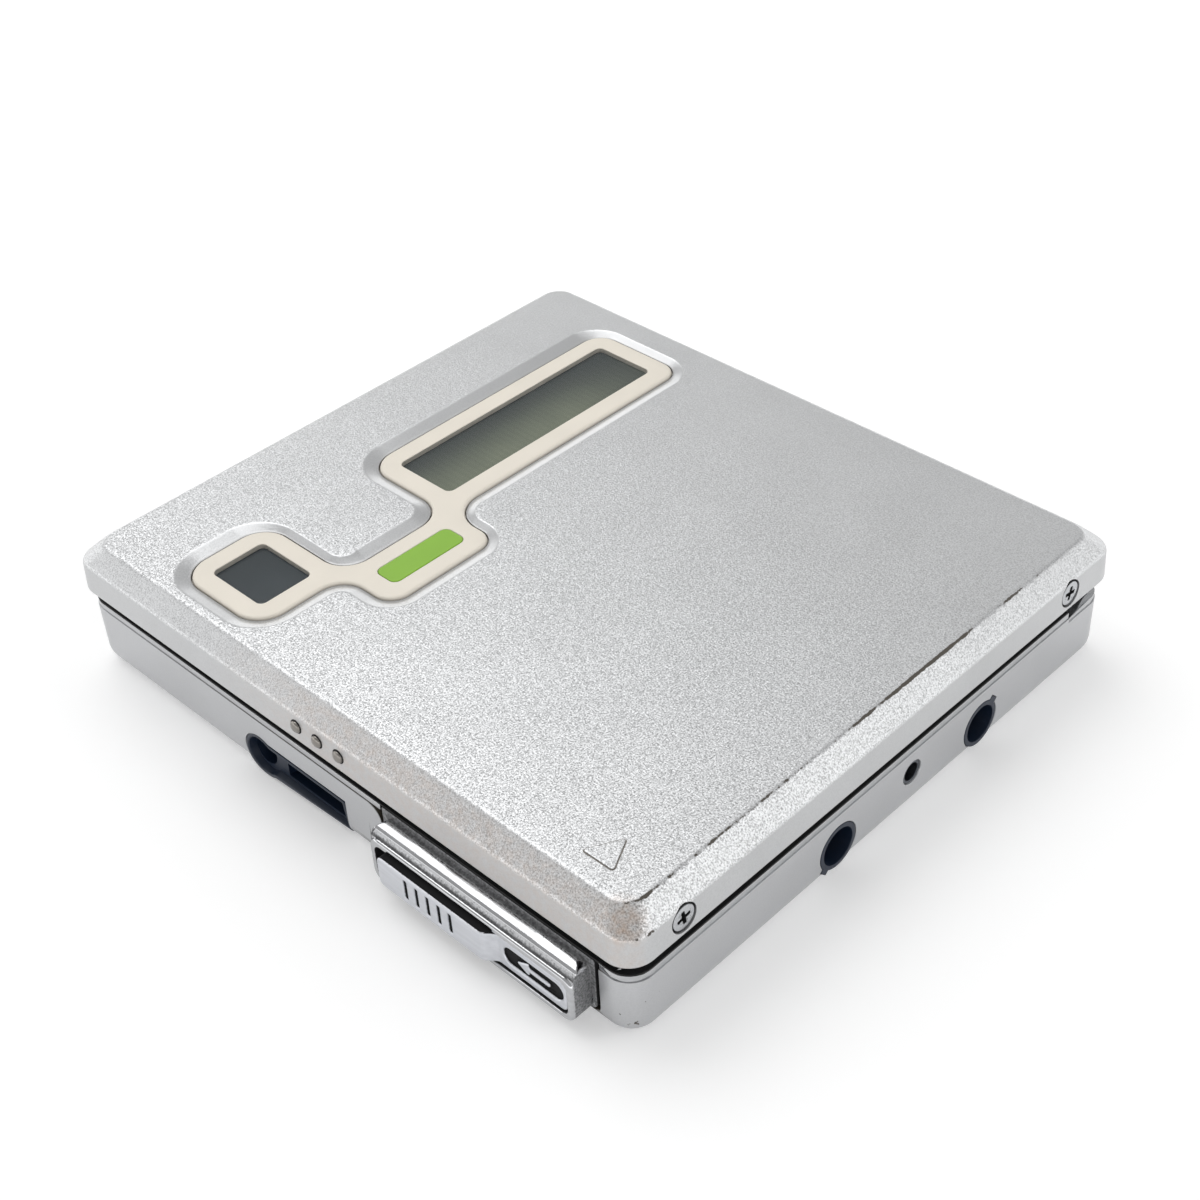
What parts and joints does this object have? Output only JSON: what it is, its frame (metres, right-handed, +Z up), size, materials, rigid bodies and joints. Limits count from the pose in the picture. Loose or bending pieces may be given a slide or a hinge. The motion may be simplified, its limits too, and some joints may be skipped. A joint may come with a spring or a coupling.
{
  "type": "portable minidisc player",
  "caption": "Flat portable minidisc player with a hinged chamfered lid, a lobed display bezel, a front opening slider, a headphone and remote socket and battery-case wells on its side.",
  "frame": {"origin": "middle of the base's underside, on the table plane", "axes": "+X right along the front edge, +Y to the hinge at the back, +Z up through the lid"},
  "size_m": [0.086, 0.08, 0.0162],
  "materials": {
    "lid_paint": "silver metallic paint, satin",
    "base_paint": "silver metallic paint, satin",
    "chrome_plate": "bright plating",
    "satin_aluminium": "satin",
    "sheet_steel": "bare sheet and turned steel",
    "brass": "plated brass",
    "black_moulding": "fine matt texture",
    "key_plastic": "silver-grey satin",
    "cream_plastic": "smooth",
    "smoked_window": "clear, slightly smoked",
    "green_lens": "tinted, translucent",
    "display_glass": "unlit display",
    "board": "solder mask",
    "battery_can": "sleeved can",
    "damper_rubber": "soft"
  },
  "bodies": {
    "base": {"base_shell": "base_paint", "mid_frame": "chrome_plate", "inner_frame": "black_moulding", "slider_frame": "chrome_plate", "slider_spring": "sheet_steel", "headphone_jack": "black_moulding", "remote_contacts": "brass", "terminal_bushes": "black_moulding", "terminal_contacts": "brass", "case_screw_insert": "brass", "battery": "battery_can", "battery_contact": "sheet_steel", "main_board": "board", "board_chips": "black_moulding", "key_board": "board", "mechanism_deck": "sheet_steel", "deck_dampers": "damper_rubber", "damper_screws": "sheet_steel", "spindle_motor": "sheet_steel", "guide_rod": "sheet_steel", "sled_motor": "sheet_steel", "bottom_screws": "chrome_plate", "hinge_pins": "sheet_steel", "lid_spring": "sheet_steel"},
    "lid": {"lid_shell": "lid_paint", "display_bezel": "cream_plastic", "lcd_window": "smoked_window", "icon_window": "smoked_window", "indicator_lens": "green_lens", "lcd_panel": "display_glass", "icon_panel": "display_glass", "lid_board": "board", "disc_holder": "sheet_steel", "lid_screws": "chrome_plate", "lid_domes": "chrome_plate", "lid_catch": "sheet_steel"},
    "slider": {"open_slider": "satin_aluminium", "latch_hook": "sheet_steel"},
    "spindle": {"turntable": "sheet_steel"},
    "sled_carriage": {"sled": "black_moulding", "laser_unit": "brass"},
    "lens": {"objective_lens": "black_moulding"},
    "screw": {"lead_screw": "sheet_steel"},
    "pinion": {"motor_pinion": "brass"},
    "door": {"battery_door": "base_paint", "door_contact": "sheet_steel"},
    "play": {"play_key": "key_plastic"},
    "stop": {"stop_key": "key_plastic"},
    "volume": {"volume_rocker": "key_plastic"},
    "hold": {"hold_switch": "key_plastic"}
  },
  "joints": [
    {"name": "lid_hinge", "type": "hinge", "parent": "base", "child": "lid", "pos_m": [0, 0.0354, 0.01], "axis": [-1, 0, 0], "range_deg": [0, 30], "deforming": ["lid_spring"]},
    {"name": "slider_slide", "type": "slide", "parent": "base", "child": "slider", "axis": [-1, 0, 0], "range_m": [0, 0.001], "stiffness_N_per_m": 300, "deforming": ["slider_spring"]},
    {"name": "spindle_spin", "type": "hinge", "parent": "base", "child": "spindle", "pos_m": [0, -0.0005, 0.007], "axis": [0, 0, 1], "continuous": true},
    {"name": "sled_slide", "type": "slide", "parent": "base", "child": "sled_carriage", "axis": [1, 0, 0], "range_m": [0, 0.0165]},
    {"name": "lens_focus", "type": "slide", "parent": "sled_carriage", "child": "lens", "axis": [0, 0, 1], "range_m": [-0.00025, 0.00035], "stiffness_N_per_m": 30},
    {"name": "screw_spin", "type": "hinge", "parent": "base", "child": "screw", "pos_m": [0.02, 0.0065, 0.0034], "axis": [1, 0, 0], "range_deg": [-30, 3000]},
    {"name": "pinion_spin", "type": "hinge", "parent": "base", "child": "pinion", "pos_m": [0.009, 0.0099, 0.0034], "axis": [1, 0, 0], "range_deg": [-4300, 45]},
    {"name": "door_hinge", "type": "hinge", "parent": "base", "child": "door", "pos_m": [-0.0413, 0.0186, 0.004], "axis": [0, 0, 1], "range_deg": [0, 95]},
    {"name": "play_push", "type": "slide", "parent": "base", "child": "play", "axis": [1, 0, 0], "range_m": [0, 0.0004], "stiffness_N_per_m": 400},
    {"name": "stop_push", "type": "slide", "parent": "base", "child": "stop", "axis": [1, 0, 0], "range_m": [0, 0.0004], "stiffness_N_per_m": 400},
    {"name": "volume_tilt", "type": "hinge", "parent": "base", "child": "volume", "pos_m": [-0.04105, -0.002, 0.0043], "axis": [0, 0, 1], "range_deg": [-2.5, 2.5], "stiffness_Nm_per_rad": 0.05},
    {"name": "hold_slide", "type": "slide", "parent": "base", "child": "hold", "axis": [0, 1, 0], "range_m": [0, 0.002]}
  ],
  "couplings": [
    {"joint": "screw_spin", "follows": "sled_slide", "rad_per_m": 3141.6},
    {"joint": "pinion_spin", "follows": "sled_slide", "rad_per_m": -4488}
  ]
}
